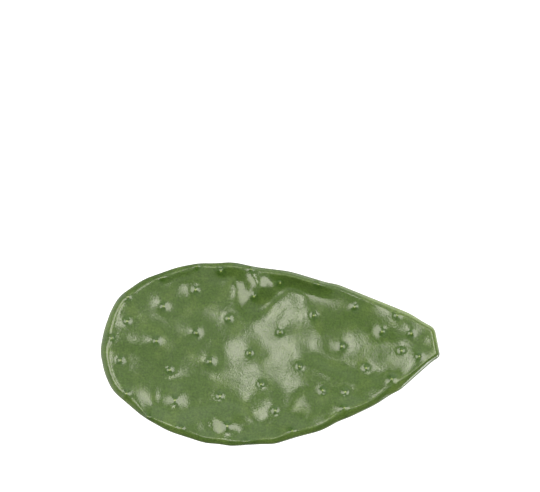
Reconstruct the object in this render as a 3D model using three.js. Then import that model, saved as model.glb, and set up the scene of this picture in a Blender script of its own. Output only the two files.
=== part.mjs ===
// A shallow serving dish of glazed earthenware in the shape of a prickly pear pad.
// Millimetres, +X towards the stem end, +Z up, the foot ring on z = 0.
import * as THREE from "three";

// Heights above the table: the crest of the rim, the widest line, the underside below the rim
const RIM_HEIGHT = 18;
const GIRTH_HEIGHT = 12;
const BELLY_HEIGHT = 10.5;

// The hollow: how deep, how far its wall slopes, how much the floor climbs towards both ends
const HOLLOW_DEPTH = 10.5;
const HOLLOW_REACH = 22;
const END_CLIMB = 12.7;
const HALF_LENGTH = 140;
const LOWEST_X = -4;
// The underside sinks by this share of the hollow, so the wall is about 5 thick in the middle and
// 8 near the rim
const BELLY_SHARE = 0.7;

// The rim: its crest lies this far inside the outline, and is softened over CREST_SOFTNESS
const CREST_INSET = 4.3;
const CREST_SOFTNESS = 1.5;
const CUSP_REACH = 9;
const OUTER_ROUNDNESS = 1.6;

// The nubs: a sharp tip with hollow flanks on a low broad mound
const NUB_HEIGHT = 2.6;
const NUB_TIP = 0.5;
const NUB_FLANK = 2;
const MOUND_HEIGHT = 0.9;
const MOUND_RADIUS = 11;

// Swells and hollows that the modeller's hand left in the floor: [x, y, height, radius].
// They die out at the crest, over SWELL_FADE.
const SWELL_FADE = 6;
const SWELLS = [
  [-131, 9, 1.6, 8], [-130, -3, -0.8, 8], [-119, 32, -1.1, 11], [-119, -15, -1.5, 12],
  [-104, 15, 1.8, 14], [-95, -43, -1.5, 8], [-84, -19, -1.3, 10], [-80, 9, 1, 11],
  [-80, 25, 0.5, 12], [-77, -37, 0.8, 8], [-77, 62, -2.2, 11], [-70, 44, 0.5, 10],
  [-60, 20, 0.8, 13], [-60, -57, 0.7, 9], [-53, -67, -1, 8], [-47, -19, -0.4, 11],
  [-45, 46, 0.4, 9], [-35, -59, 2.6, 9], [-31, 63, -2.8, 9], [-27, -42, -0.3, 10],
  [-18, 44, 0.7, 7], [-11, 56, 4, 7], [-8, -62, -2.2, 9], [-7, -25, -0.4, 9],
  [0, -42, 0.7, 8], [8, 15, -0.5, 9], [8, 57, -1.2, 8], [9, -51, -1.4, 9], [22, 41, 0.6, 7],
  [25, 58, -6.4, 13], [37, -47, 1.8, 9], [38, -28, -0.4, 9], [38, 26, -0.8, 10],
  [42, 50, -1, 9], [43, 0, -0.7, 10], [44, -19, 1.1, 9], [59, -31, -0.6, 9],
  [80, -15, -0.3, 9], [96, -2, 0.6, 8], [97, -17, -1, 9], [101, 26, 0.9, 11],
  [112, 6, -0.9, 11], [130, 8, -1.2, 7],
];

// The foot ring is a plain egg, wider away from the stem
const FOOT_CENTRE_X = -10;
const FOOT_LENGTH = 160;
const FOOT_WIDTH = 80;
const FOOT_TAPER = 0.2;

// Section of the underside: [run in from the girth, share of the belly's height, height added].
// The foot ring's outer wall is at UNDER_RUN, and up to there the run is scaled to fit.
const UNDER_RUN = 30;
const SECTION = [
  [1.1, 0, 10.9], [3.6, 0, 10.4], [12, 1, 0], [22.5, 1, 0], [28.4, 1, -0.1], [30, 1, -1.4],
  [30.6, 0, 0.9], [31.4, 0, 0], [35.2, 0, 0], [36, 0, 0.9], [36.8, 1, -0.8], [38.4, 1, 0],
];

// Triangle sizes
const COLUMNS = 144;
const FACE_SPACING = 6.6;
const RECESS_SPACING = 13;
const CREST_CLEARANCE = 1.1;
const RECESS_CLEARANCE = 3;
// Mesh points keep at least this share of their spacing apart
const LEAST_SHARE = 0.62;
// Rings of points round each nub: [radius, count]
const NUB_RINGS = [
  [1.5, 6],
  [3.4, 8],
  [6.6, 10],
];
// The outer side of the rim, from the crest to the girth, in degrees
const ROLL_ANGLES = [24, 48, 70, 90];

// The outline's corners, counter-clockwise from the stem's upper corner
const CORNERS = [
  [136.5, 21.2], [127.8, 25.7], [116.2, 33.2], [56.4, 57.3], [48.1, 58.7], [16.6, 68.2],
  [-10.8, 71.5], [-30.7, 75.9], [-45.7, 74.7], [-58.1, 74.9], [-76.4, 71.5], [-104.6, 61.4],
  [-124.5, 47.3], [-131.1, 36.1], [-137, 19.5], [-140.3, 1.2], [-136.1, -17.8],
  [-129.5, -31.5], [-103.8, -53.2], [-83, -64.7], [-53.1, -74.3], [-41.5, -75.1],
  [-31.5, -76.8], [-6.6, -75.1], [4.2, -75.1], [22.4, -69.3], [43.2, -63.9], [56.4, -56.4],
  [66.4, -52.7], [88, -42.3], [99.6, -34.4], [107.9, -30.3], [133.6, -7.5], [139.9, -3.3],
  [140.7, -0.8],
];
const CORNER_EASE = 7;

// Nubs on the floor of the dish, in rows across the pad
const FLOOR_NUBS = [
  [-117.4, 25.7], [-122.7, -6.6], [-87.6, 38.2], [-93.3, 9.4], [-82.3, -14.2],
  [-77.8, -39.2], [-61.4, 52.1], [-60.6, 16.4], [-49, -7.1], [-40.9, -35.5],
  [-34.6, -60.4], [-40.3, 67.3], [-33.9, 28.7], [-16.4, 0.2], [-7.1, -25.6], [4.7, -47.4],
  [-13, 46.6], [8.6, 57.9], [8.6, 17.3], [24.5, -11], [43.6, -30.8], [36.3, 31.2],
  [59.4, 5.5], [62.3, -32.2], [70, 37.8], [79.5, -12.5], [92.5, 17.3], [108.5, 1.7],
  [116.6, 15.7], [123.1, -3.2],
];

// Nubs that stand on the crest of the rim and pull it inwards
const RIM_NUBS = [
  [105.2, 30.8], [40.3, 56.4], [-15.5, 68.9], [-60.3, 71.4], [-89, 61.9], [-117, 45.8],
  [-129.9, 11.7], [-117.5, -34], [-100.2, -53], [-72.7, -62.3], [-19.3, -73.3],
  [18.7, -64.5], [61.2, -45.5], [100.1, -21.6],
];

const vector = ([x, y]) => new THREE.Vector2(x, y);

// Straight stretches with each corner eased into a short curve
function outlineShape() {
  const corners = CORNERS.map(vector);
  const shape = new THREE.Shape();
  corners.forEach((corner, i) => {
    const before = corners.at(i - 1);
    const after = corners[(i + 1) % corners.length];
    const leg = Math.min(
      CORNER_EASE,
      0.45 * corner.distanceTo(before),
      0.45 * corner.distanceTo(after),
    );
    const enter = before.clone().sub(corner).setLength(leg).add(corner);
    const leave = after.clone().sub(corner).setLength(leg).add(corner);
    if (i === 0) shape.moveTo(enter.x, enter.y);
    else shape.lineTo(enter.x, enter.y);
    shape.quadraticCurveTo(corner.x, corner.y, leave.x, leave.y);
  });
  shape.closePath();
  return shape;
}

const OUTLINE = outlineShape();
const OUTLINE_SAMPLES = 1400;
OUTLINE.arcLengthDivisions = OUTLINE_SAMPLES;
const OUTLINE_LENGTH = OUTLINE.getLength();
// Half the length over which the outline's direction is taken
const TANGENT_REACH = 2;

// The point at a share of the way round the outline, and the direction into the dish there
function outlineAt(share) {
  const turn = ((share % 1) + 1) % 1;
  const step = TANGENT_REACH / OUTLINE_LENGTH;
  const point = OUTLINE.getPointAt(turn);
  const ahead = OUTLINE.getPointAt((turn + step) % 1);
  const behind = OUTLINE.getPointAt((turn - step + 1) % 1);
  const along = ahead.sub(behind).normalize();
  return { point, inward: new THREE.Vector2(-along.y, along.x) };
}

// Where each rim nub stands: its share of the way round, and its distance inside the outline
function placeOnRim(nub) {
  let best = { inset: Infinity, share: 0 };
  for (let i = 0; i < OUTLINE_SAMPLES; i++) {
    const share = i / OUTLINE_SAMPLES;
    const inset = OUTLINE.getPointAt(share).distanceTo(nub);
    if (inset < best.inset) best = { inset, share };
  }
  return best;
}

const RIM_PLACES = RIM_NUBS.map((nub) => placeOnRim(vector(nub)));

// The crest bulges out between the rim nubs and runs in to each of them
function crestInset(share) {
  let inset = CREST_INSET;
  for (const place of RIM_PLACES) {
    const apart = Math.abs(share - place.share);
    const distance = Math.min(apart, 1 - apart) * OUTLINE_LENGTH;
    inset += (place.inset - CREST_INSET) * Math.exp(-distance / CUSP_REACH);
  }
  return inset;
}

function column(share) {
  const { point, inward } = outlineAt(share);
  return { edge: point, crest: inward.multiplyScalar(crestInset(share)).add(point) };
}

const CREST_SAMPLES = 360;
const CREST = Array.from({ length: CREST_SAMPLES }, (_, i) => column(i / CREST_SAMPLES).crest);

// Distance inside the crest, smooth everywhere: a straight crest gives the true distance, and
// a crest that wraps round the point gives less
function insideCrest(x, y) {
  let sum = 0;
  CREST.forEach((point, i) => {
    const next = CREST[(i + 1) % CREST.length];
    const square = (point.x - x) ** 2 + (point.y - y) ** 2 + CREST_SOFTNESS ** 2;
    sum += point.distanceTo(next) / square ** 2;
  });
  return Math.cbrt(Math.PI / 2 / sum) - CREST_SOFTNESS;
}

function nubRelief(x, y) {
  let height = 0;
  for (const [nubX, nubY] of [...FLOOR_NUBS, ...RIM_NUBS]) {
    const square = (x - nubX) ** 2 + (y - nubY) ** 2;
    height += NUB_HEIGHT * Math.exp(-Math.sqrt(square + NUB_TIP ** 2) / NUB_FLANK);
    height += MOUND_HEIGHT * Math.exp(-square / (2 * MOUND_RADIUS ** 2));
  }
  return height;
}

function swellRelief(x, y, inside) {
  const fade = 1 - Math.exp(-inside / SWELL_FADE);
  return SWELLS.reduce((height, [swellX, swellY, rise, radius]) => {
    const square = (x - swellX) ** 2 + (y - swellY) ** 2;
    return height + fade * rise * Math.exp(-square / (2 * radius ** 2));
  }, 0);
}

// How far the hollow lies below the crest at a distance inside it
function hollow(x, inside) {
  const depth = HOLLOW_DEPTH - END_CLIMB * ((x - LOWEST_X) / HALF_LENGTH) ** 2;
  return depth * (1 - Math.exp(-inside / HOLLOW_REACH));
}

// Height of the glazed upper face
function faceHeight({ x, y }) {
  const inside = insideCrest(x, y);
  return RIM_HEIGHT - hollow(x, inside) + nubRelief(x, y) + swellRelief(x, y, inside);
}

// Height of the underside, away from the rim and the foot ring
function bellyHeight({ x, y }) {
  return BELLY_HEIGHT - BELLY_SHARE * hollow(x, insideCrest(x, y));
}

// Shares of the way round for the mesh's columns, with one on every rim nub
function columnShares() {
  const shares = Array.from({ length: COLUMNS }, (_, i) => i / COLUMNS);
  for (const place of RIM_PLACES) shares[Math.round(place.share * COLUMNS) % COLUMNS] = place.share;
  return shares;
}

function encloses(ring, x, y) {
  let inside = false;
  ring.forEach((a, i) => {
    const b = ring.at(i - 1);
    if (a.y > y !== b.y > y && x < ((b.x - a.x) * (y - a.y)) / (b.y - a.y) + a.x) inside = !inside;
  });
  return inside;
}

function distanceToRing(ring, point) {
  const distances = ring.map((a, i) => {
    const side = ring.at(i - 1).clone().sub(a);
    const share = point.clone().sub(a).dot(side) / side.lengthSq();
    return side.multiplyScalar(THREE.MathUtils.clamp(share, 0, 1)).add(a).distanceTo(point);
  });
  return Math.min(...distances);
}

// Points of an even triangular field over the whole plan
function fieldPoints(spacing) {
  const points = [];
  const rise = spacing * Math.sqrt(0.75);
  const rows = Math.ceil(HALF_LENGTH / rise);
  for (let row = -rows; row <= rows; row++)
    for (let i = -rows; i <= rows; i++)
      points.push(new THREE.Vector2((i + (row & 1) / 2) * spacing, row * rise));
  return points;
}

// Plan points inside a ring, which comes first: each keeps clear of the ring and of those before
function pointsInside(ring, clearance, groups) {
  const points = [...ring];
  for (const { candidates, spacing } of groups)
    for (const point of candidates) {
      if (!encloses(ring, point.x, point.y) || distanceToRing(ring, point) < clearance) continue;
      if (points.every((other) => other.distanceTo(point) > LEAST_SHARE * spacing)) points.push(point);
    }
  return points;
}

// Plan points of the upper face: the crest, the nubs, rings round the nubs, then an even field
function facePoints(crest) {
  const nubs = [...FLOOR_NUBS, ...RIM_NUBS].map(vector);
  const groups = [{ candidates: FLOOR_NUBS.map(vector), spacing: 0 }];
  NUB_RINGS.forEach(([radius, count], ring) => {
    const around = Array.from({ length: count }, (_, i) => {
      const angle = (2 * Math.PI * (i + ring / 2)) / count;
      return new THREE.Vector2(radius * Math.cos(angle), radius * Math.sin(angle));
    });
    const candidates = nubs.flatMap((nub) => around.map((offset) => offset.clone().add(nub)));
    groups.push({ candidates, spacing: radius });
  });
  groups.push({ candidates: fieldPoints(FACE_SPACING), spacing: FACE_SPACING });
  return pointsInside(crest, CREST_CLEARANCE, groups);
}

// Delaunay triangles of the plan points inside a ring. Points are added one at a time to a
// triangle whose corners are far away.
function triangulate(points, ring) {
  const far = 100 * HALF_LENGTH;
  const all = [...points, ...[[-far, -far], [far, -far], [0, far]].map(vector)];
  const rounded = (a, b, c) => {
    const [p, q, r] = [all[a], all[b], all[c]];
    const [bx, by, cx, cy] = [q.x - p.x, q.y - p.y, r.x - p.x, r.y - p.y];
    const twice = 2 * (bx * cy - by * cx);
    const x = (cy * (bx * bx + by * by) - by * (cx * cx + cy * cy)) / twice;
    const y = (bx * (cx * cx + cy * cy) - cx * (bx * bx + by * by)) / twice;
    return { corners: [a, b, c], x: p.x + x, y: p.y + y, square: x * x + y * y };
  };
  const count = points.length;
  let triangles = [rounded(count, count + 1, count + 2)];
  points.forEach((point, index) => {
    const rim = new Map();
    triangles = triangles.filter((triangle) => {
      const square = (point.x - triangle.x) ** 2 + (point.y - triangle.y) ** 2;
      if (square >= triangle.square) return true;
      triangle.corners.forEach((from, i) => {
        const to = triangle.corners[(i + 1) % 3];
        if (!rim.delete(`${to} ${from}`)) rim.set(`${from} ${to}`, [from, to]);
      });
      return false;
    });
    for (const [from, to] of rim.values()) triangles.push(rounded(from, to, index));
  });
  return triangles
    .map(({ corners }) => corners)
    .filter((corners) => {
      if (Math.max(...corners) >= count) return false;
      const [a, b, c] = corners.map((corner) => points[corner]);
      return encloses(ring, (a.x + b.x + c.x) / 3, (a.y + b.y + c.y) / 3);
    });
}

// The foot ring's outer wall, met by a line from its centre towards a point of the outline
function footPoint(edge) {
  const angle = Math.atan2(edge.y / FOOT_WIDTH, (edge.x - FOOT_CENTRE_X) / FOOT_LENGTH);
  const taper = 1 - FOOT_TAPER * Math.cos(angle);
  return new THREE.Vector2(
    FOOT_CENTRE_X + (FOOT_LENGTH / 2) * Math.cos(angle),
    (FOOT_WIDTH / 2) * Math.sin(angle) * taper,
  );
}

// Rings of points below the crest, from the outer side of the rim to the recess in the base
function lowerRings(columns, crestHeights) {
  const rings = ROLL_ANGLES.map((degrees) => {
    const angle = THREE.MathUtils.degToRad(degrees);
    const out = Math.sin(angle) ** (2 / OUTER_ROUNDNESS);
    return columns.map(({ edge, crest }, i) => {
      const plan = crest.clone().lerp(edge, out);
      const drop = (crestHeights[i] - GIRTH_HEIGHT) * Math.cos(angle);
      return new THREE.Vector3(plan.x, plan.y, GIRTH_HEIGHT + drop);
    });
  });
  const foot = columns.map(({ edge }) => footPoint(edge));
  const inward = foot.map((point, i) => {
    const along = foot[(i + 1) % foot.length].clone().sub(foot.at(i - 1)).normalize();
    return new THREE.Vector2(-along.y, along.x);
  });
  for (const [run, share, added] of SECTION)
    rings.push(
      columns.map(({ edge }, i) => {
        const plan = edge.clone().lerp(foot[i], Math.min(run / UNDER_RUN, 1));
        plan.addScaledVector(inward[i], Math.max(run - UNDER_RUN, 0));
        return new THREE.Vector3(plan.x, plan.y, share * bellyHeight(plan) + added);
      }),
    );
  return rings;
}

function dishGeometry() {
  const columns = columnShares().map(column);
  const crest = columns.map((one) => one.crest);
  const plan = facePoints(crest);
  const vertices = plan.map((point) => new THREE.Vector3(point.x, point.y, faceHeight(point)));
  const faces = triangulate(plan, crest);

  // Each ring below the crest is joined to the one before it
  const count = columns.length;
  const crestHeights = vertices.slice(0, count).map((vertex) => vertex.z);
  let above = 0;
  for (const ring of lowerRings(columns, crestHeights)) {
    const below = vertices.length;
    vertices.push(...ring);
    for (let i = 0; i < count; i++) {
      const next = (i + 1) % count;
      faces.push([above + i, below + i, below + next], [above + i, below + next, above + next]);
    }
    above = below;
  }

  // The recess inside the foot ring closes the body from below
  const ring = vertices.slice(above).map(({ x, y }) => new THREE.Vector2(x, y));
  const field = { candidates: fieldPoints(RECESS_SPACING), spacing: RECESS_SPACING };
  const recess = pointsInside(ring, RECESS_CLEARANCE, [field]);
  for (const point of recess.slice(count))
    vertices.push(new THREE.Vector3(point.x, point.y, bellyHeight(point)));
  for (const [a, b, c] of triangulate(recess, ring)) faces.push([above + a, above + c, above + b]);

  const geometry = new THREE.BufferGeometry().setFromPoints(vertices).setIndex(faces.flat());
  geometry.computeBoundingBox();
  const { min, max } = geometry.boundingBox;
  geometry.translate(-(min.x + max.x) / 2, -(min.y + max.y) / 2, -min.z);
  geometry.computeVertexNormals();
  return geometry;
}

const glaze = new THREE.MeshStandardMaterial({ color: 0x5e7842, roughness: 0.2, metalness: 0 });

const dish = new THREE.Mesh(dishGeometry(), glaze);
dish.name = "dish";

const part = new THREE.Group();
part.add(dish);

export default part;
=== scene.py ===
"""A serving dish of glazed earthenware in the shape of a prickly pear pad: the fine surface of the
fired body, its glaze and bare foot, and a small photographic stage. Lengths in the formulas are
millimetres, and the finished mesh is in metres."""
import math

import bpy
import numpy as np
from mathutils import Matrix, Vector
from mathutils.geometry import delaunay_2d_cdt


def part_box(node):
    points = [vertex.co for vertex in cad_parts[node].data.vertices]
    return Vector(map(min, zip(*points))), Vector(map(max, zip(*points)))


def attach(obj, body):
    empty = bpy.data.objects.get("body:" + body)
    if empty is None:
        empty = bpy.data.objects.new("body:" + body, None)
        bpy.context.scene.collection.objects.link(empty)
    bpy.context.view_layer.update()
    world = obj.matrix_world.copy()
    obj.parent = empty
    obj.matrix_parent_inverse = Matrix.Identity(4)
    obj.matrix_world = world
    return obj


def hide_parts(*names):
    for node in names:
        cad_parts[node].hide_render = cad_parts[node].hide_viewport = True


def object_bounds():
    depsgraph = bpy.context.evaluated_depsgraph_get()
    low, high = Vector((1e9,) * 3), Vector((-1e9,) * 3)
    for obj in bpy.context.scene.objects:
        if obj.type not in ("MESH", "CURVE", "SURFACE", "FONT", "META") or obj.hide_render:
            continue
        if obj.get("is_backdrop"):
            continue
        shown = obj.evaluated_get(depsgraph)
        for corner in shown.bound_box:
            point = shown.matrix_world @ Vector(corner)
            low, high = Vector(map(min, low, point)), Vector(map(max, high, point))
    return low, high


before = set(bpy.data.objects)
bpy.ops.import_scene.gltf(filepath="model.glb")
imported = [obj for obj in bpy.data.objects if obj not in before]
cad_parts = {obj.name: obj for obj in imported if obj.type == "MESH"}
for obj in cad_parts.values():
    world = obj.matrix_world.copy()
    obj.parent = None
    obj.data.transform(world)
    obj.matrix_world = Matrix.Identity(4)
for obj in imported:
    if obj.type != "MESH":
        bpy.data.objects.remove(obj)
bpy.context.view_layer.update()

bl_info = {
    "name": "Pad dish",
    "version": (1, 0, 0),
    "blender": (4, 5, 0),
    "location": "3D View > Sidebar > Pad dish",
    "description": "Builds a glazed dish in the shape of a prickly pear pad, and a stage for it",
    "category": "Add Mesh",
}

MILLIMETRE = 0.001

# The outline's corners, counter-clockwise from the stem's upper corner
CORNERS = [
    (136.5, 21.2), (127.8, 25.7), (116.2, 33.2), (56.4, 57.3), (48.1, 58.7), (16.6, 68.2),
    (-10.8, 71.5), (-30.7, 75.9), (-45.7, 74.7), (-58.1, 74.9), (-76.4, 71.5), (-104.6, 61.4),
    (-124.5, 47.3), (-131.1, 36.1), (-137, 19.5), (-140.3, 1.2), (-136.1, -17.8),
    (-129.5, -31.5), (-103.8, -53.2), (-83, -64.7), (-53.1, -74.3), (-41.5, -75.1),
    (-31.5, -76.8), (-6.6, -75.1), (4.2, -75.1), (22.4, -69.3), (43.2, -63.9), (56.4, -56.4),
    (66.4, -52.7), (88, -42.3), (99.6, -34.4), (107.9, -30.3), (133.6, -7.5), (139.9, -3.3),
    (140.7, -0.8),
]
CORNER_EASE = 7.0

# Nubs on the floor of the dish, in rows across the pad: x, y, how far the flank reaches
FLOOR_NUBS = [
    (-117.4, 25.7, 2.8), (-122.7, -6.6, 2.6), (-87.6, 38.2, 3.6), (-93.3, 9.4, 3),
    (-82.3, -14.2, 3), (-77.8, -39.2, 3.4), (-61.4, 52.1, 3.2), (-60.6, 16.4, 2.8),
    (-49, -7.1, 2.8), (-40.9, -35.5, 2.8), (-34.6, -60.4, 3), (-40.3, 67.3, 1.8),
    (-33.9, 28.7, 2.6), (-16.4, 0.2, 1.4), (-7.1, -25.6, 1.6), (4.7, -47.4, 2), (-13, 46.6, 1.9),
    (8.6, 57.9, 1.9), (8.6, 17.3, 1.2), (24.5, -11, 1.3), (43.6, -30.8, 2), (36.3, 31.2, 1.6),
    (59.4, 5.5, 2.2), (62.3, -32.2, 2), (70, 37.8, 2.2), (79.5, -12.5, 1.8), (92.5, 17.3, 2.4),
    (108.5, 1.7, 2), (116.6, 15.7, 1.6), (123.1, -3.2, 1.6),
]

# Nubs that stand on the crest of the rim and pull it inwards
RIM_NUB_FLANK = 1.8
RIM_NUBS = [
    (105.2, 30.8), (40.3, 56.4), (-15.5, 68.9), (-60.3, 71.4), (-89, 61.9), (-117, 45.8),
    (-129.9, 11.7), (-117.5, -34), (-100.2, -53), (-72.7, -62.3), (-19.3, -73.3),
    (18.7, -64.5), (61.2, -45.5), (100.1, -21.6),
]

# Swells and hollows of the floor: x, y, height, radius. They die out at the crest, over SWELL_FADE.
# Most places and heights follow the high and low points of a relief that a scratch program fitted
# to the reflections in the photo. They were rounded and adjusted, and the radii chosen.
SWELL_FADE = 6.0
SWELLS = [
    (-131, 9, 1.6, 8), (-130, -3, -0.8, 8), (-119, 32, -1.1, 11), (-119, -15, -1.5, 12),
    (-104, 15, 1.8, 14), (-95, -43, -1.5, 8), (-84, -19, -1.3, 10), (-80, 9, 1, 11),
    (-80, 25, 0.5, 12), (-77, -37, 0.8, 8), (-77, 62, -2.2, 11), (-70, 44, 0.5, 10),
    (-60, 20, 0.8, 13), (-60, -57, 0.7, 9), (-53, -67, -1, 8), (-47, -19, -0.4, 11),
    (-45, 46, 0.4, 9), (-35, -59, 2.6, 9), (-31, 63, -2.8, 9), (-27, -42, -0.3, 10),
    (-18, 44, 0.7, 7), (-11, 56, 4, 7), (-8, -62, -2.2, 9), (-7, -25, -0.4, 9),
    (0, -42, 0.7, 8), (8, 15, -0.5, 9), (8, 57, -1.2, 8), (9, -51, -1.4, 9), (22, 41, 0.6, 7),
    (25, 58, -6.4, 13), (37, -47, 1.8, 9), (38, -28, -0.4, 9), (38, 26, -0.8, 10),
    (42, 50, -1, 9), (43, 0, -0.7, 10), (44, -19, 1.1, 9), (59, -31, -0.6, 9),
    (80, -15, -0.3, 9), (96, -2, 0.6, 8), (97, -17, -1, 9), (101, 26, 0.9, 11),
    (112, 6, -0.9, 11), (130, 8, -1.2, 7),
]

# Fainter unevenness between the swells, which shows only in the reflections: the same values.
# Most were read off contour maps of the relief that the same fit still missed, in three rounds, and
# those of the last round were added up with earlier ones that lay close.
RIPPLES = [
    (-128, 16, 0.2, 3), (-122, 0, -0.8, 8), (-118, -33, 0.2, 4), (-116, 24, -0.85, 9),
    (-113, 42, 0.3, 7), (-112, 10, 0.2, 6), (-110, -9, 0.2, 5), (-102, -30, -0.25, 8),
    (-101, 53, -0.35, 8), (-97, 43, 0.15, 6), (-96, -49, -0.8, 7), (-96, 25, -0.75, 9),
    (-95, 2, -0.2, 5), (-93, -30, -0.3, 10), (-87, -8, 0.2, 4), (-83, 26, -0.25, 8),
    (-82, -22, -0.25, 5), (-82, -15, -0.45, 6), (-80, -54, 0.3, 8), (-79, -42, -0.45, 6),
    (-78, 8, -0.2, 6), (-77, -31, 0.3, 7), (-75, 50, 0.45, 7), (-75, 64, -0.4, 8),
    (-71, 35, -0.45, 9), (-70, 20, 0.25, 8), (-65, -44, -0.75, 7), (-64, -58, 0.45, 9),
    (-64, 56, -0.25, 6), (-62, -6, 0.35, 7), (-62, 22, 0.12, 6), (-61, -29, 0.8, 8),
    (-60, -62, 0.75, 7), (-57, 10, -0.65, 6), (-56, 36, -0.25, 8), (-55, -18, -0.45, 8),
    (-54, 68, 0.65, 5), (-50, -5, 0.3, 6), (-47, -66, -0.9, 5), (-43, -38, -0.65, 7),
    (-39, 5, -0.25, 7), (-36, -52, 0.9, 7), (-36, 17, 0.15, 7), (-35, 53, 0.5, 7),
    (-33, -69, -0.2, 4), (-33, 28, -0.25, 6), (-30, 33, -0.3, 7), (-27, -27, 0.1, 5),
    (-26, -61, 0.3, 6), (-25, -42, -0.25, 6), (-21, -61, 0.25, 6), (-19, 54, -0.5, 5),
    (-17, -11, -0.35, 6), (-17, 1, 0.15, 7), (-17, 38, 0.3, 6), (-17, 66, 1.35, 5),
    (-15, 42, 0.45, 6), (-13, 29, -0.45, 8), (-11, 66, 0.4, 4), (-9, -66, -0.3, 6),
    (-9, -49, 0.35, 6), (-9, -28, -0.2, 4), (-7, 8, -0.35, 8), (-7, 58, 0.45, 6),
    (-5, -9, -0.2, 5), (-3, -49, -0.2, 5), (-2, 54, 1.1, 6), (0, -30, 0.25, 6),
    (1, 40, -0.8, 6.5), (1, 45, -0.5, 5), (2, 64, -1.3, 4.5), (8, -3, -0.3, 8),
    (10, -33, -0.25, 6), (10, 33, -0.2, 5), (11, 15, -0.2, 3), (12, 26, 0.35, 6),
    (17, -50, -0.4, 7), (18, 45, 0.45, 6), (20, -11, -0.3, 7), (20, 40, -0.35, 5),
    (22, -50, -0.25, 6), (22, 50, 0.5, 5), (22, 56, -0.9, 8), (24, 13, -0.2, 6),
    (28, -29, -0.25, 7), (28, 38, -0.25, 4), (33, -58, 1, 7), (33, -36, 0.3, 6), (33, 4, -0.5, 7),
    (33, 56, -0.4, 7), (35, 30, -0.3, 6), (37, -27, -0.35, 6), (37, -11, 0.4, 7),
    (38, 18, -0.2, 5), (42, 50, -0.65, 7), (46, -30, -0.45, 6), (47, 14, -0.35, 7),
    (50, 28, 0.35, 8), (50, 38, -0.2, 8), (54, 5, 0.15, 4), (56, -7, -0.35, 8), (60, -21, 0.7, 8),
    (62, 5, -0.2, 8), (66, -24, 0.3, 6), (67, -36, -1, 6), (70, 30, 0.15, 8), (72, -14, -0.5, 7),
    (76, -34, 0.3, 6), (76, 39, -0.4, 7), (80, 17, -0.15, 8), (85, -28, 0.45, 8),
    (85, 17, -0.2, 4), (86, 31, 0.2, 6), (88, -15, -0.35, 7), (96, -21, -0.65, 6),
    (96, 9, -0.6, 8), (99, 26, -0.15, 6), (101, -20, -0.75, 5), (105, 14, 0.2, 5),
    (108, 2, -0.2, 4), (110, 24, -0.2, 4), (119, 22, 0.8, 5), (122, 12, -0.4, 6),
    (123, -3, 0.3, 5), (130, -2, 0.3, 5),
]

# The hollow: its floor climbs from LOWEST_X towards both ends, and its wall eases out over the reach
HALF_LENGTH = 140.0
LOWEST_X = -4.0
END_CLIMB = 12.7
HOLLOW_REACH = 22.0

# The crest of the rim lies this far inside the outline, and a nub on it pulls it in over CUSP_REACH
CREST_INSET = 4.3
CUSP_REACH = 9.0
OUTER_ROUNDNESS = 1.6

# At the round end the crest lies further in and is rounder: by how much, and where that sets in
# and is full
END_INSET, END_SOFTENING = 1.6, 1.0
END_FROM, END_FULL = -85, -125

# A nub has a sharp tip with hollow flanks, and stands on a low broad mound
NUB_TIP = 0.5
MOUND_HEIGHT = 0.9
MOUND_RADIUS = 11.0

# Below the crest: the widest line, the underside beside the rim, which sinks by a share of the
# hollow, and the foot ring, an egg that is wider away from the stem
GIRTH_HEIGHT = 12.0
BELLY_HEIGHT = 10.5
BELLY_SHARE = 0.7
FOOT_CENTRE_X = -10.0
FOOT_LENGTH = 160.0
FOOT_WIDTH = 80.0
FOOT_TAPER = 0.2

# Section of the underside: run in from the girth, share of the belly's height, height added.
# The foot ring's outer wall is at UNDER_RUN, and up to there the run is scaled to fit.
UNDER_RUN = 30.0
LIP_RUN = 3.6
LIP_HEIGHT = 10.4
SECTION = [
    (LIP_RUN, 0, LIP_HEIGHT), (12, 1, 0), (22.5, 1, 0), (28.4, 1, -0.1), (30, 1, -1.4),
    (30.6, 0, 0.9), (31.4, 0, 0), (35.2, 0, 0), (36, 0, 0.9), (36.8, 1, -0.8), (38.4, 1, 0),
]
SECTION_EASE = 1.1

# The stretch of that run which is wiped bare of glaze before firing
BARE_FROM, BARE_TO = 30.7, 35.9

# Glaze thickness, 1 where it is even. It runs off the tips of the nubs and gathers round their
# feet, and is a little thin on the crest and the outer wall. Reaches in millimetres.
TIP_THINNING, TIP_DRAIN = 0.5, 0.95
POOLING, POOL_AT, POOL_WIDTH = 0.75, 2.6, 1.3
CREST_THINNING, CREST_DRAIN, OUTER_DRAIN = 0.05, 0.3, 0.5
OUTER_THINNING = 0.05

# On the outer wall towards the stem, on the north side alone, the glaze is painted lighter and
# yellower as if it were thinner: a painted sheen for light falling on that side, not thinner glaze.
# How much, the stretch of x over which that grows, and the y over which it does
STEM_PAINTED_SHEEN, STEM_FROM, STEM_TO, NORTH_FULL = 0.23, 45, 85, 10

# Thickness at which the glaze has its thin colour alone, its even one and its pooled one
THIN_AT, EVEN_AT, POOLED_AT = 0.2, 1.0, 1.9

# Sizes of the glaze's patterns, millimetres. The orange peel of a real glaze is finer, and is
# drawn coarse enough to show in a picture.
CLOUD, SPECK, PEEL, SAG = 14, 1.5, 1.1, 12

# Sizes of the bare clay's grit and of its dusty stains, and the depth of its pores, millimetres.
# A stain starts and is full at these values of its noise, and hides a share of the clay.
GRIT, STAIN, PORE_DEPTH = 0.8, 12, 0.15
STAIN_FROM, STAIN_TO, STAIN_SHARE = 0.45, 0.75, 0.35

# An eased corner takes at most this share of a side, and is drawn with this many points
EASE_SHARE = 0.45
EASE_POINTS = 9

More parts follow.
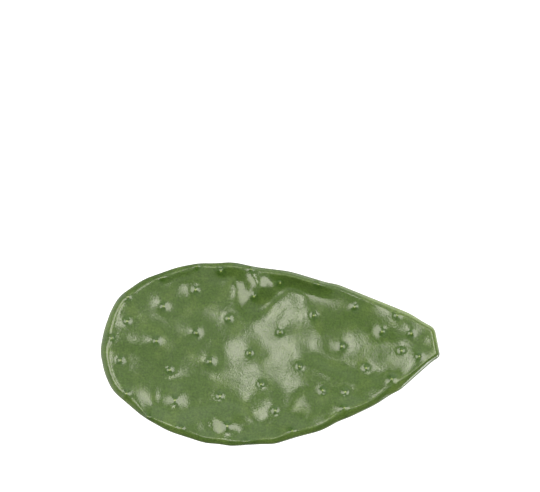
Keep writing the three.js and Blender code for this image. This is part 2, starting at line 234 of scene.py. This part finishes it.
# Mesh: counts, and spacings in millimetres. The crest and the nubs get the closest points.
COLUMNS = 560
OUTLINE_SAMPLES = 1400
CREST_SAMPLES = 360
TANGENT_REACH = 2.0
CREST_RINGS = (0.35, 0.8, 1.4, 2.2)
ROLL_STEPS = 16
LIP_STEPS = 8
UNDER_STEP = 2.0
LEAST_STEP = 0.1
FIELD_SPACING = 0.95
NUB_SPACING = 0.45
NUB_PATCH = 3.6
RECESS_SPACING = 3.0

# The triangulation keeps what lies inside the ring, and takes points this close for one
FILL_INSIDE = 1
SAME_POINT = 1e-7


def linear(hex_colour):
    """An sRGB hex colour as linear RGBA."""
    values = [int(hex_colour[i:i + 2], 16) / 255 for i in (1, 3, 5)]
    return (*(v / 12.92 if v <= 0.04045 else ((v + 0.055) / 1.055) ** 2.4 for v in values), 1.0)


def eased(points, ease, closed):
    """The polyline with each corner turned into a short curve."""
    points = np.array(points, float)
    made = []
    for i, corner in enumerate(points):
        if not closed and i in (0, len(points) - 1):
            made.append([corner])
            continue
        before, after = points[i - 1], points[(i + 1) % len(points)]
        legs = [np.linalg.norm(other - corner) for other in (before, after)]
        leg = min(ease, EASE_SHARE * min(legs))
        start = corner + (before - corner) * leg / legs[0]
        end = corner + (after - corner) * leg / legs[1]
        t = np.linspace(0, 1, EASE_POINTS)[:, None]
        made.append(start * (1 - t) ** 2 + corner * 2 * t * (1 - t) + end * t * t)
    return np.vstack(made)


def spaced(line, shares, closed):
    """Points of a line at shares of its length, and the length."""
    if closed:
        line = np.vstack([line, line[:1]])
    run = np.r_[0, np.cumsum(np.hypot(*np.diff(line, axis=0).T))]
    at = np.asarray(shares) * run[-1]
    return np.c_[np.interp(at, run, line[:, 0]), np.interp(at, run, line[:, 1])], run[-1]


def left_of(along):
    """Unit vectors to the left of plan directions."""
    return np.c_[-along[:, 1], along[:, 0]] / np.hypot(*along.T)[:, None]


def ring_inward(ring):
    """Unit vectors into a counter-clockwise ring of plan points."""
    return left_of(np.roll(ring, -1, axis=0) - np.roll(ring, 1, axis=0))


def round_end(x):
    """0 along the sides and 1 at the round end."""
    share = np.clip((x - END_FROM) / (END_FULL - END_FROM), 0, 1)
    return share ** 2 * (3 - 2 * share)


def rim_columns(count):
    """The outline and the crest of the rim at even shares of the way round."""
    line = eased(CORNERS, CORNER_EASE, closed=True)
    fine, length = spaced(line, np.arange(OUTLINE_SAMPLES) / OUTLINE_SAMPLES, closed=True)
    share = np.arange(count) / count
    edge, _ = spaced(line, share, closed=True)
    step = TANGENT_REACH / length
    along = spaced(line, (share + step) % 1, True)[0] - spaced(line, (share - step) % 1, True)[0]
    inset = CREST_INSET + END_INSET * round_end(edge[:, 0])
    plain_inset = inset.copy()
    for nub in RIM_NUBS:
        distance = np.hypot(*(fine - nub).T)
        apart = np.abs(share - distance.argmin() / OUTLINE_SAMPLES)
        apart = np.minimum(apart, 1 - apart) * length
        inset += (distance.min() - plain_inset) * np.exp(-apart / CUSP_REACH)
    return edge, edge + left_of(along) * inset[:, None]


class Face:
    """The glazed upper face as a height over the plan."""

    def __init__(self, sizes):
        self.rim = sizes.rim_height / MILLIMETRE
        self.depth = sizes.hollow_depth / MILLIMETRE
        self.nub = sizes.nub_height / MILLIMETRE
        self.soft = sizes.crest_softness / MILLIMETRE
        self.crest = rim_columns(CREST_SAMPLES)[1]
        self.lengths = np.hypot(*(np.roll(self.crest, -1, axis=0) - self.crest).T)

    def inside(self, x, y):
        """Distance inside the crest, smooth everywhere."""
        total = np.zeros(x.shape)
        soft = self.soft + END_SOFTENING * round_end(x)
        for (crest_x, crest_y), length in zip(self.crest, self.lengths):
            total += length / ((x - crest_x) ** 2 + (y - crest_y) ** 2 + soft ** 2) ** 2
        return np.cbrt(math.pi / 2 / total) - soft

    def hollow(self, x, inside):
        """How far the hollow lies below the crest at a distance inside it."""
        depth = self.depth - END_CLIMB * ((x - LOWEST_X) / HALF_LENGTH) ** 2
        return depth * (1 - np.exp(-inside / HOLLOW_REACH))

    def height(self, x, y):
        """Height of the glazed face."""
        inside = self.inside(x, y)
        made = self.rim - self.hollow(x, inside)
        for nub_x, nub_y, flank in FLOOR_NUBS + [(*nub, RIM_NUB_FLANK) for nub in RIM_NUBS]:
            square = (x - nub_x) ** 2 + (y - nub_y) ** 2
            made += self.nub * np.exp(-np.sqrt(square + NUB_TIP ** 2) / flank)
            made += MOUND_HEIGHT * np.exp(-square / (2 * MOUND_RADIUS ** 2))
        fade = 1 - np.exp(-inside / SWELL_FADE)
        for swell_x, swell_y, rise, radius in SWELLS + RIPPLES:
            square = (x - swell_x) ** 2 + (y - swell_y) ** 2
            made += fade * rise * np.exp(-square / (2 * radius ** 2))
        return made

    def belly(self, x, y):
        """Height of the underside, away from the rim and the foot ring."""
        return BELLY_HEIGHT - BELLY_SHARE * self.hollow(x, self.inside(x, y))

    def glaze_depth(self, x, y):
        """How thick the glaze lies: 1 where it is even, 0 where it ran off, 2 where it pooled."""
        depth = 1 - CREST_THINNING * np.exp(-self.inside(x, y) / CREST_DRAIN)
        for nub_x, nub_y, *_ in FLOOR_NUBS + RIM_NUBS:
            away = np.hypot(x - nub_x, y - nub_y)
            depth -= TIP_THINNING * np.exp(-(away / TIP_DRAIN) ** 2)
            depth += POOLING * np.exp(-((away - POOL_AT) / POOL_WIDTH) ** 2)
        return np.clip(depth, 0, 2)


def lattice(low, high, spacing):
    """Points of an even triangular lattice over a rectangle."""
    rows = np.arange(low[1], high[1], spacing * math.sqrt(0.75))
    places = np.arange(low[0], high[0], spacing)
    return np.vstack([
        np.c_[places + spacing / 2 * (i % 2), np.full(len(places), y)]
        for i, y in enumerate(rows)
    ])


def filled(ring, points):
    """Triangles that fill a ring of plan points and use the points inside it."""
    plan = np.vstack([ring, points])
    edges = [(i, (i + 1) % len(ring)) for i in range(len(ring))]
    points_in = [Vector(place) for place in plan]
    found, _, faces, *_ = delaunay_2d_cdt(points_in, edges, [], FILL_INSIDE, SAME_POINT)
    if len(found) != len(plan):
        raise ValueError(f"{len(plan)} plan points became {len(found)}")
    return plan, faces


def face_plan(face, crest):
    """Plan points and triangles of the upper face, close together at the crest and the nubs."""
    rings = [crest + ring_inward(crest) * distance for distance in CREST_RINGS]
    nubs = np.array([nub[:2] for nub in FLOOR_NUBS + RIM_NUBS])
    field = lattice(crest.min(0), crest.max(0), FIELD_SPACING)
    patches = [nub + lattice((-NUB_PATCH,) * 2, (NUB_PATCH,) * 2, NUB_SPACING) for nub in nubs]
    near = np.min([np.hypot(*(field - nub).T) for nub in nubs], axis=0)
    field = field[near > NUB_PATCH + NUB_SPACING / 2]
    patch = np.vstack([p[np.hypot(*(p - nub).T) < NUB_PATCH] for p, nub in zip(patches, nubs)])
    inner = np.vstack([field, patch])
    clear = face.inside(inner[:, 0], inner[:, 1]) > CREST_RINGS[-1] - face.soft / 2
    return filled(crest, np.vstack([*rings, inner[clear]]))


def foot_ring(edge):
    """The foot ring's outer wall, met by lines from its centre towards the outline."""
    angle = np.arctan2(edge[:, 1] / FOOT_WIDTH, (edge[:, 0] - FOOT_CENTRE_X) / FOOT_LENGTH)
    taper = 1 - FOOT_TAPER * np.cos(angle)
    return np.c_[
        FOOT_CENTRE_X + FOOT_LENGTH / 2 * np.cos(angle),
        FOOT_WIDTH / 2 * np.sin(angle) * taper,
    ]


def section_line():
    """The underside's section with a round lip and eased corners, in short steps."""
    turn = np.radians(np.linspace(0, 90, LIP_STEPS + 1)[1:-1])
    lip_height = GIRTH_HEIGHT - (GIRTH_HEIGHT - LIP_HEIGHT) * np.sin(turn)
    lip = np.c_[LIP_RUN * (1 - np.cos(turn)), np.zeros(len(turn)), lip_height]
    line = np.vstack([lip, eased(SECTION, SECTION_EASE, closed=False)])
    runs = np.unique(np.r_[line[:, 0], np.arange(LIP_RUN, UNDER_RUN, UNDER_STEP)])
    runs = runs[np.r_[True, np.diff(runs) > LEAST_STEP]]
    return [(run, *(np.interp(run, line[:, 0], line[:, i]) for i in (1, 2))) for run in runs]


def lower_rings(face, edge, crest, crest_height):
    """Rings of points below the crest: plan, height, run along the section and glaze depth, which on
    the outer wall towards the stem holds a painted sheen as well.
    """
    # outer is the glaze's real thinness on the outer wall plus a painted sheen towards the stem on
    # the north side, which lightens it towards the thin colour
    sheen_towards_stem = np.clip((edge[:, 0] - STEM_FROM) / (STEM_TO - STEM_FROM), 0, 1)
    sheen_northern = np.clip(edge[:, 1] / NORTH_FULL, 0, 1)
    outer = OUTER_THINNING + STEM_PAINTED_SHEEN * sheen_towards_stem * sheen_northern
    for angle in np.radians(np.linspace(0, 90, ROLL_STEPS + 1)[1:]):
        out = math.sin(angle) ** (2 / OUTER_ROUNDNESS)
        height = GIRTH_HEIGHT + (crest_height - GIRTH_HEIGHT) * math.cos(angle)
        thin = CREST_THINNING * math.exp(-(out * CREST_INSET / OUTER_DRAIN) ** 2)
        yield crest + (edge - crest) * out, height, 0, 1 - thin - outer * out
    foot = foot_ring(edge)
    inward = ring_inward(foot)
    for run, share, added in section_line():
        plan = edge + (foot - edge) * min(run / UNDER_RUN, 1) + inward * max(run - UNDER_RUN, 0)
        thin = outer * math.exp(-run / LIP_RUN)
        yield plan, share * face.belly(*plan.T) + added, run, 1 - thin


def inside_ring(ring, points, clearance):
    """The points that lie inside a round ring and keep clear of it."""
    middle = ring.mean(0)
    turns = np.arctan2(*(ring - middle).T[::-1])
    order = np.argsort(turns)
    reach = np.interp(np.arctan2(*(points - middle).T[::-1]), turns[order],
                      np.hypot(*(ring - middle).T)[order], period=2 * math.pi)
    clear = np.array([np.hypot(*(ring - point).T).min() > clearance for point in points])
    return points[clear & (np.hypot(*(points - middle).T) < reach)]


def dish_mesh(sizes):
    """The whole closed body in millimetres: vertices, faces, which faces are bare, and glaze depth
    with a painted sheen on the outer wall towards the stem.
    """
    face = Face(sizes)
    edge, crest = rim_columns(COLUMNS)
    plan, faces = face_plan(face, crest)
    vertices = [np.c_[plan, face.height(*plan.T)]]
    depth = [face.glaze_depth(*plan.T)]
    faces = [tuple(f) for f in faces]
    bare = [False] * len(faces)
    above, count, run_before = 0, len(plan), 0
    order = np.arange(COLUMNS)
    following = np.roll(order, -1)
    for plan, height, run, thickness in lower_rings(face, edge, crest, vertices[0][:COLUMNS, 2]):
        vertices.append(np.c_[plan, height * np.ones(COLUMNS)])
        depth.append(thickness * np.ones(COLUMNS))
        quads = np.c_[above + order, count + order, count + following, above + following]
        faces += [tuple(q) for q in quads.tolist()]
        bare += [BARE_FROM < (run + run_before) / 2 < BARE_TO] * COLUMNS
        above, count, run_before = count, count + COLUMNS, run
    ring = vertices[-1][:, :2]
    inner = inside_ring(ring, lattice(ring.min(0), ring.max(0), RECESS_SPACING), RECESS_SPACING / 2)
    _, fill = filled(ring, inner)
    vertices.append(np.c_[inner, face.belly(*inner.T)])
    depth.append(np.ones(len(inner)))
    place = np.r_[above + order, count + np.arange(len(inner))]
    faces += [tuple(int(place[i]) for i in reversed(f)) for f in fill]
    bare += [False] * len(fill)
    return np.vstack(vertices), faces, bare, np.concatenate(depth)


def add(tree, kind, inputs=(), **settings):
    """Adds a node. inputs maps each socket's name or number to a value or to another's output."""
    made = tree.nodes.new("ShaderNode" + kind)
    for name, value in settings.items():
        setattr(made, name, value)
    for socket, value in dict(inputs).items():
        if isinstance(value, bpy.types.NodeSocket):
            tree.links.new(value, made.inputs[socket])
        else:
            made.inputs[socket].default_value = value
    return made


def mixed(tree, factor, first, second):
    """A colour between two others. A Mix node in colour mode has them at sockets 6 and 7, and
    its result at output 2."""
    return add(tree, "Mix", {0: factor, 6: first, 7: second}, data_type="RGBA").outputs[2]


def per_metre(millimetres):
    """A texture's scale for features of this size."""
    return 1 / (millimetres * MILLIMETRE)


def new_material(name):
    material = bpy.data.materials.new(name)
    material.use_nodes = True
    material.node_tree.nodes.clear()
    return material, material.node_tree


def green_glaze(look):
    """Semi-opaque green glaze on cream earthenware, dipped and fired glossy. It is clouded and
    finely speckled, its skin has the slight orange peel of a sprayed or dipped coat, and it is
    thinner and yellower at the tips of the nubs. On the outer wall towards the stem, on the north
    side, it is painted lighter too: a painted sheen, not thinner glaze."""
    material, tree = new_material("green_glaze")
    where = add(tree, "TexCoord").outputs["Object"]
    depth = add(tree, "Attribute", attribute_name="glaze_depth").outputs["Fac"]
    cloud = add(tree, "TexNoise", {"Vector": where, "Scale": per_metre(CLOUD), "Detail": 3.0})
    speck = add(tree, "TexNoise", {"Vector": where, "Scale": per_metre(SPECK), "Detail": 2.0})
    drift = add(tree, "Math", {0: cloud.outputs["Fac"], 1: look.clouding, 2: -look.clouding / 2},
                operation="MULTIPLY_ADD").outputs[0]
    total = add(tree, "Math", {0: depth, 1: drift}, operation="ADD").outputs[0]
    thin = add(tree, "MapRange", {"Value": total, "From Min": THIN_AT, "From Max": EVEN_AT})
    deep = add(tree, "MapRange", {"Value": total, "From Min": EVEN_AT, "From Max": POOLED_AT})
    lit = mixed(tree, thin.outputs[0], (*look.thin, 1), (*look.green, 1))
    clouded = mixed(tree, deep.outputs[0], lit, (*look.pooled, 1))
    tone = add(tree, "Math", {0: speck.outputs["Fac"], 1: look.speckle, 2: 1 - look.speckle / 2},
               operation="MULTIPLY_ADD").outputs[0]
    colour = add(tree, "HueSaturation", {"Value": tone, "Color": clouded})
    peel = add(tree, "TexNoise", {"Vector": where, "Scale": per_metre(PEEL), "Detail": 1.5})
    sag = add(tree, "TexNoise", {"Vector": where, "Scale": per_metre(SAG), "Detail": 1.0})
    rolling = add(tree, "Bump", {"Height": sag.outputs["Fac"], "Distance": look.sag})
    orange = add(tree, "Bump", {"Height": peel.outputs["Fac"], "Distance": look.peel,
                                "Normal": rolling.outputs[0]})
    surface = add(tree, "BsdfPrincipled", {
        "Base Color": colour.outputs[0], "Roughness": look.roughness, "IOR": 1.5,
        "Normal": orange.outputs[0]})
    add(tree, "OutputMaterial", {"Surface": surface.outputs[0]})
    return material


def bare_earthenware():
    """Fired cream earthenware, sponged and ground flat: dull, faintly speckled, and dusty grey
    where it has stood."""
    material, tree = new_material("bare_earthenware")
    where = add(tree, "TexCoord").outputs["Object"]
    speck = add(tree, "TexNoise", {"Vector": where, "Scale": per_metre(GRIT), "Detail": 4.0})
    stain = add(tree, "TexNoise", {"Vector": where, "Scale": per_metre(STAIN), "Detail": 3.0})
    tone = mixed(tree, speck.outputs["Fac"], linear("#cdbfa6"), linear("#e0d6c2"))
    worn = add(tree, "MapRange", {
        "Value": stain.outputs["Fac"], "From Min": STAIN_FROM, "From Max": STAIN_TO,
        "To Max": STAIN_SHARE})
    colour = mixed(tree, worn.outputs[0], tone, linear("#9b9184"))
    pores = add(tree, "Bump", {
        "Height": speck.outputs["Fac"], "Distance": PORE_DEPTH * MILLIMETRE})
    surface = add(tree, "BsdfPrincipled", {
        "Base Color": colour, "Roughness": 0.85, "Normal": pores.outputs[0]})
    add(tree, "OutputMaterial", {"Surface": surface.outputs[0]})
    return material


def pale_floor(colour, glow):
    """Matt white acrylic sheet on a light table, as under product photographs: it has no shine,
    and the light from below takes the shadow off it."""
    material, tree = new_material("pale_floor")
    surface = add(tree, "BsdfPrincipled", {
        "Base Color": (*colour, 1), "Roughness": 1.0, "Specular IOR Level": 0.0,
        "Emission Color": (1, 1, 1, 1), "Emission Strength": glow})
    add(tree, "OutputMaterial", {"Surface": surface.outputs[0]})
    return material


class DishSizes(bpy.types.PropertyGroup):
    """Sizes of the dish that a user would change."""

    rim_height: bpy.props.FloatProperty(
        name="Rim height", description="Crest of the rim above the table",
        default=0.018, unit="LENGTH", precision=4)
    hollow_depth: bpy.props.FloatProperty(
        name="Hollow depth", description="How far the floor would lie below the crest",
        default=0.0105, unit="LENGTH", precision=4)
    nub_height: bpy.props.FloatProperty(
        name="Nub height", description="How far a nub's tip stands out",
        default=0.0019, unit="LENGTH", precision=4)
    crest_softness: bpy.props.FloatProperty(
        name="Crest softness", description="How far the crest of the rim is rounded over",
        default=0.0014, unit="LENGTH", precision=4)


class GlazeLook(bpy.types.PropertyGroup):
    """Colours and gloss of the glaze."""

    green: bpy.props.FloatVectorProperty(
        name="Green", description="Glaze of even thickness", subtype="COLOR",
        size=3, min=0, max=1, default=linear("#394e1e")[:3])
    thin: bpy.props.FloatVectorProperty(
        name="Thin", description="Glaze that has run off a nub", subtype="COLOR",
        size=3, min=0, max=1, default=linear("#93a658")[:3])
    pooled: bpy.props.FloatVectorProperty(
        name="Pooled", description="Glaze gathered in a hollow", subtype="COLOR",
        size=3, min=0, max=1, default=linear("#2d4613")[:3])
    clouding: bpy.props.FloatProperty(
        name="Clouding", description="How far the glaze's thickness drifts", default=0.25, min=0)
    speckle: bpy.props.FloatProperty(
        name="Speckle", description="How far the glaze's tone changes from spot to spot",
        default=1.2, min=0)
    roughness: bpy.props.FloatProperty(
        name="Roughness", description="Softness of the glaze's reflections",
        default=0.115, min=0, max=1)
    peel: bpy.props.FloatProperty(
        name="Orange peel", description="Height of the fine grain left by firing",
        default=0.000085, unit="LENGTH", precision=6)
    sag: bpy.props.FloatProperty(
        name="Sag", description="Height of the slow waves where the glaze ran",
        default=0.0002, unit="LENGTH", precision=6)


class StageSet(bpy.types.PropertyGroup):
    """Floor, lights and camera."""

    floor: bpy.props.FloatVectorProperty(
        name="Floor", description="Colour of the floor", subtype="COLOR",
        size=3, min=0, max=1, default=linear("#aaaaaa")[:3])
    glow: bpy.props.FloatProperty(
        name="Floor glow", description="Light that comes through the floor from below",
        default=1.1, min=0)
    brightness: bpy.props.FloatProperty(
        name="Softbox brightness", description="Radiance of the softboxes, with white at 1",
        default=11.2, min=0)
    light_colour: bpy.props.FloatVectorProperty(
        name="Light colour", description="Colour of the softboxes' light", subtype="COLOR",
        size=3, min=0, max=1, default=linear("#fff9ef")[:3])
    ceiling: bpy.props.FloatProperty(
        name="Ceiling", description="Brightness of the ceiling", default=0.6, min=0.01)
    walls: bpy.props.FloatProperty(
        name="Walls", description="Brightness of the walls", default=0.25, min=0)
    distance: bpy.props.FloatProperty(
        name="Camera distance", description="From the dish to the camera",
        default=2.0, unit="LENGTH")
    elevation: bpy.props.FloatProperty(
        name="Camera elevation", description="Angle of the camera above the table",
        default=math.radians(86), subtype="ANGLE")
    lens: bpy.props.FloatProperty(
        name="Lens", description="Focal length", default=161.2, unit="CAMERA")


class PADDISH_OT_dish(bpy.types.Operator):
    """Build the dish over its plain solid, with its glaze and bare foot"""

    bl_idname = "paddish.dish"
    bl_label = "Build dish"

    def execute(self, context):
        scene = context.scene
        vertices, faces, bare, depth = dish_mesh(scene.pad_dish_sizes)
        low, high = (np.array(corner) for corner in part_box("dish"))
        vertices = vertices * MILLIMETRE
        middle = (vertices.min(0) + vertices.max(0)) / 2
        shift = (low + high) / 2 - middle
        # The box's middle lies over the solid's, and the foot stands at the same height
        shift[2] = low[2] - vertices[:, 2].min()
        mesh = bpy.data.meshes.new("glazed_dish")
        mesh.from_pydata((vertices + shift).tolist(), [], faces)
        mesh.polygons.foreach_set("use_smooth", [True] * len(faces))
        mesh.materials.append(green_glaze(scene.pad_dish_glaze))
        mesh.materials.append(bare_earthenware())
        mesh.polygons.foreach_set("material_index", [int(b) for b in bare])
        # glaze_depth holds the glaze's thickness, and on the outer wall towards the stem also a
        # painted sheen that lightens it
        mesh.attributes.new("glaze_depth", "FLOAT", "POINT").data.foreach_set("value", depth)
        if mesh.validate(verbose=True):
            raise ValueError("the dish's mesh had faults")
        piece = bpy.data.objects.new("glazed_dish", mesh)
        context.collection.objects.link(piece)
        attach(piece, "root")
        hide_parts("dish")
        return {"FINISHED"}


# Softboxes: name, degrees from overhead to the east (+X) and to the north (+Y), distance,
# size across and along, share of the brightness
SOFTBOXES = [
    ("overhead_softbox", -3, 4, 2.0, 0.28, 0.49, 0.84),
    ("left_softbox", -34, 3, 1.4, 0.75, 1.13, 0.58),
    ("right_softbox", 34, 3, 1.4, 0.75, 1.13, 0.58),
]

# The studio by direction: a pale patch of ceiling that leans east and north of overhead and fades
# between two angles from its middle, and walls that are darker to the south and brighter at both
# ends
CEILING_EAST, CEILING_NORTH = 16, 5
CEILING_FULL, CEILING_END = 12, 43
WALLS_LEAN = 0.5
END_WALLS = 0.3

# White cards round the table, most of them low, with dimmer ones high to the north and south:
# degrees from east towards north, elevation, the angles from the middle at which one starts to
# fade and ends, brightness
CARDS = [
    (62, -5, 10, 30, 2.0),
    (-37, -14, 6, 16, 10.0),
    (10, -55, 25, 60, 1.2),
    (175, -15, 25, 60, 0.8),
    (90, 42, 14, 30, 0.9),
    (-72, 57, 4, 15, 0.6),
    (-108, 57, 4, 15, 0.6),
]


def overhead(east, north):
    """The direction at these angles from overhead, in degrees to the east and to the north."""
    return Vector((math.tan(math.radians(east)), math.tan(math.radians(north)), 1)).normalized()


def towards_side(turn, elevation):
    """The direction at this many degrees from east towards north, and above the table."""
    turn, elevation = math.radians(turn), math.radians(elevation)
    level = math.cos(elevation)
    return Vector((level * math.cos(turn), level * math.sin(turn), math.sin(elevation)))


def studio_walls(settings):
    """Light from the studio's ceiling and walls, by direction alone."""
    world = bpy.data.worlds.new("studio_walls")
    world.use_nodes = True
    tree = world.node_tree
    tree.nodes.clear()
    towards = add(tree, "TexCoord").outputs["Generated"]
    middle, north, east = (
        add(tree, "VectorMath", {0: towards, 1: axis}, operation="DOT_PRODUCT").outputs["Value"]
        for axis in (overhead(CEILING_EAST, CEILING_NORTH), (0, 1, 0), (1, 0, 0)))
    patch = add(tree, "MapRange", {
        "Value": middle, "From Min": math.cos(math.radians(CEILING_END)),
        "From Max": math.cos(math.radians(CEILING_FULL)), "To Max": settings.ceiling},
        interpolation_type="SMOOTHSTEP").outputs[0]
    walls = add(tree, "Math", {0: north, 1: settings.walls * WALLS_LEAN, 2: settings.walls},
                operation="MULTIPLY_ADD").outputs[0]
    ends = add(tree, "Math", {0: east, 1: east}, operation="MULTIPLY").outputs[0]
    all_walls = add(tree, "Math", {0: ends, 1: END_WALLS, 2: walls},
                    operation="MULTIPLY_ADD").outputs[0]
    strength = add(tree, "Math", {0: patch, 1: all_walls}, operation="ADD").outputs[0]
    for turn, elevation, full, end, brightness in CARDS:
        off = add(tree, "VectorMath", {0: towards, 1: towards_side(turn, elevation)},
                  operation="DOT_PRODUCT").outputs["Value"]
        card = add(tree, "MapRange", {
            "Value": off, "From Min": math.cos(math.radians(end)),
            "From Max": math.cos(math.radians(full)), "To Max": brightness},
            interpolation_type="SMOOTHSTEP").outputs[0]
        strength = add(tree, "Math", {0: strength, 1: card}, operation="ADD").outputs[0]
    light = add(tree, "Background", {"Color": (1, 1, 1, 1), "Strength": strength})
    add(tree, "OutputWorld", {"Surface": light.outputs[0]})
    return world


FLOOR_HALF = 6.0
SENSOR_WIDTH = 36.0

# The camera looks past the dish's upper edge, since the dish lies low in the picture: millimetres
AIM_X, AIM_Y = -0.3, 89.9


class PADDISH_OT_stage(bpy.types.Operator):
    """Build the floor, the softboxes and the camera"""

    bl_idname = "paddish.stage"
    bl_label = "Build stage"

    def execute(self, context):
        scene = context.scene
        settings = scene.pad_dish_stage
        half = FLOOR_HALF
        mesh = bpy.data.meshes.new("floor")
        corners = [(-half, -half, 0), (half, -half, 0), (half, half, 0), (-half, half, 0)]
        mesh.from_pydata(corners, [], [(0, 1, 2, 3)])
        mesh.materials.append(pale_floor(settings.floor, settings.glow))
        floor = bpy.data.objects.new("floor", mesh)
        scene.collection.objects.link(floor)
        # A mirrored pale floor would whiten the outer wall: the low cards give its reflections
        floor.visible_glossy = False
        floor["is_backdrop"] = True

        low, high = (Vector(corner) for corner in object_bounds())
        centre = (low + high) / 2
        for name, east, north, distance, across, along, share in SOFTBOXES:
            out = overhead(east, north)
            width_axis = (Vector((1, 0, 0)) - out * out.x).normalized()
            turned = Matrix((width_axis, out.cross(width_axis), out)).transposed()
            light = bpy.data.lights.new(name, "AREA")
            light.shape = "RECTANGLE"
            light.size, light.size_y = across, along
            light.energy = settings.brightness * share * math.pi * across * along
            light.color = settings.light_colour
            placed = bpy.data.objects.new(name, light)
            placed.location = centre + out * distance
            placed.rotation_euler = turned.to_euler()
            placed.visible_camera = False
            scene.collection.objects.link(placed)
        scene.world = studio_walls(settings)
        scene.view_settings.view_transform = "Standard"

        lens = bpy.data.cameras.new("camera")
        lens.sensor_width = SENSOR_WIDTH
        lens.lens = settings.lens
        camera = bpy.data.objects.new("camera", lens)
        back = Vector((0, -math.cos(settings.elevation), math.sin(settings.elevation)))
        camera.location = centre + back * settings.distance
        aim = Vector((AIM_X * MILLIMETRE, AIM_Y * MILLIMETRE, centre.z))
        camera.rotation_euler = (aim - camera.location).to_track_quat("-Z", "Y").to_euler()
        scene.collection.objects.link(camera)
        scene.camera = camera
        return {"FINISHED"}


class PADDISH_PT_panel(bpy.types.Panel):
    """Pad dish"""

    bl_label = "Pad dish"
    bl_space_type = "VIEW_3D"
    bl_region_type = "UI"
    bl_category = "Pad dish"

    def draw(self, context):
        scene = context.scene
        for settings in (scene.pad_dish_sizes, scene.pad_dish_glaze, scene.pad_dish_stage):
            for name in settings.__annotations__:
                self.layout.prop(settings, name)
        for operator in OPERATORS:
            self.layout.operator(operator.bl_idname)


OPERATORS = (PADDISH_OT_dish, PADDISH_OT_stage)
CLASSES = (DishSizes, GlazeLook, StageSet, *OPERATORS, PADDISH_PT_panel)


def register():
    for cls in CLASSES:
        bpy.utils.register_class(cls)
    bpy.types.Scene.pad_dish_sizes = bpy.props.PointerProperty(type=DishSizes)
    bpy.types.Scene.pad_dish_glaze = bpy.props.PointerProperty(type=GlazeLook)
    bpy.types.Scene.pad_dish_stage = bpy.props.PointerProperty(type=StageSet)


def unregister():
    for name in ("pad_dish_sizes", "pad_dish_glaze", "pad_dish_stage"):
        delattr(bpy.types.Scene, name)
    for cls in reversed(CLASSES):
        bpy.utils.unregister_class(cls)


def main():
    register()
    bpy.ops.paddish.dish()
    bpy.ops.paddish.stage()


if __name__ == "__main__":
    main()
